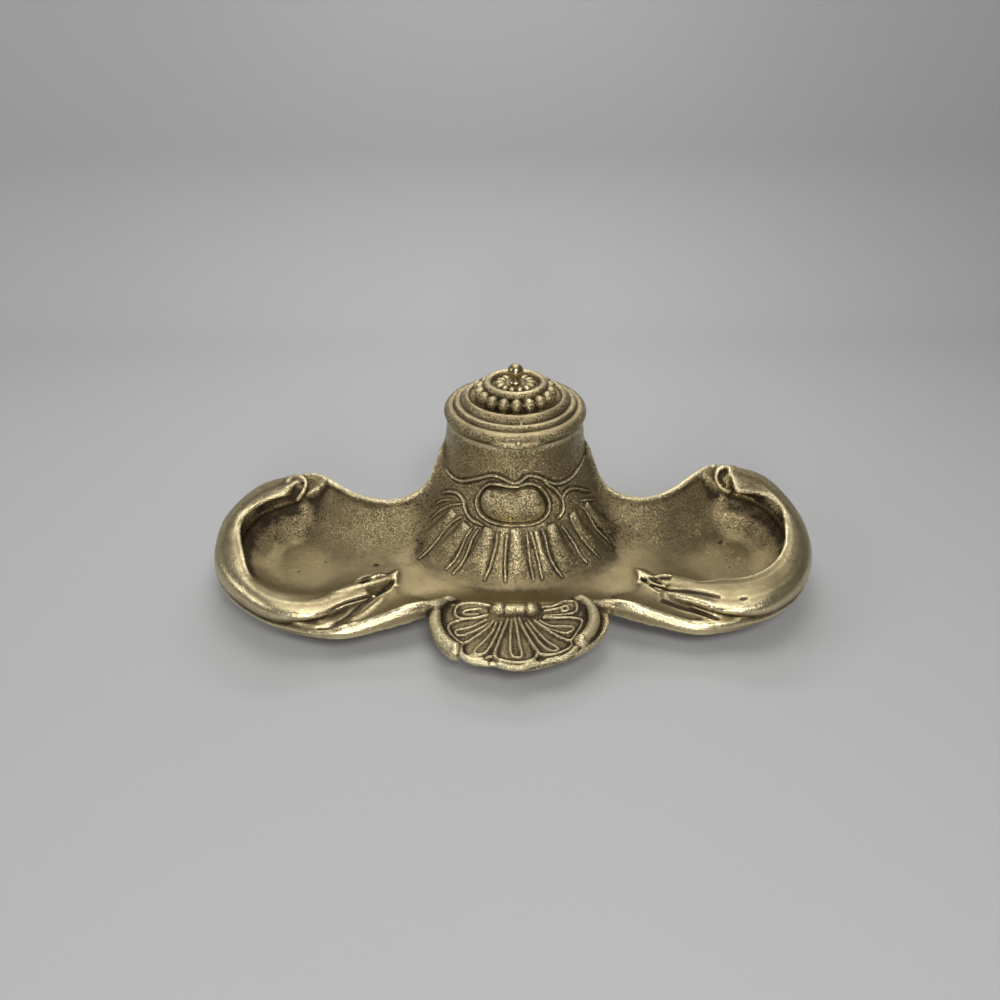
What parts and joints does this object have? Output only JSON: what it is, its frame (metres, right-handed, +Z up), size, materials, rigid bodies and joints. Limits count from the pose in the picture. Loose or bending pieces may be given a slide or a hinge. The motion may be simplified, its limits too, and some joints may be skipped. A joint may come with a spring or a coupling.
{
  "type": "desk inkstand",
  "caption": "Cast brass desk inkstand: two scrolled pen bowls, a scallop shell in front and a fluted neck that holds an ink pot under a hinged, beaded lid.",
  "frame": {"origin": "On the table, in the middle of the inkstand's box", "axes": "+X to the right wing, -Y to the front shell, +Z up"},
  "size_m": [0.2516, 0.138, 0.085],
  "materials": {
    "cast_brass": "aged cast brass, dark patina in the recesses",
    "turned_brass": "aged turned brass",
    "pot_glass": "moulded glass"
  },
  "bodies": {
    "stand": {"tray": "cast_brass", "ink_pot": "pot_glass", "neck_hinge_leaf": "turned_brass", "neck_leaf_rivets": "turned_brass", "hinge_pin": "turned_brass", "foot_front_left": "turned_brass", "foot_front_right": "turned_brass", "foot_back_left": "turned_brass", "foot_back_right": "turned_brass"},
    "lid": {"lid": "cast_brass", "finial": "turned_brass", "finial_washer": "turned_brass", "finial_nut": "turned_brass", "lid_hinge_leaf": "turned_brass", "lid_leaf_rivets": "turned_brass"}
  },
  "joints": [
    {"name": "lid_hinge", "type": "hinge", "parent": "stand", "child": "lid", "pos_m": [0, 0.06685, 0.0641], "axis": [-1, 0, 0], "range_deg": [0, 105]}
  ]
}
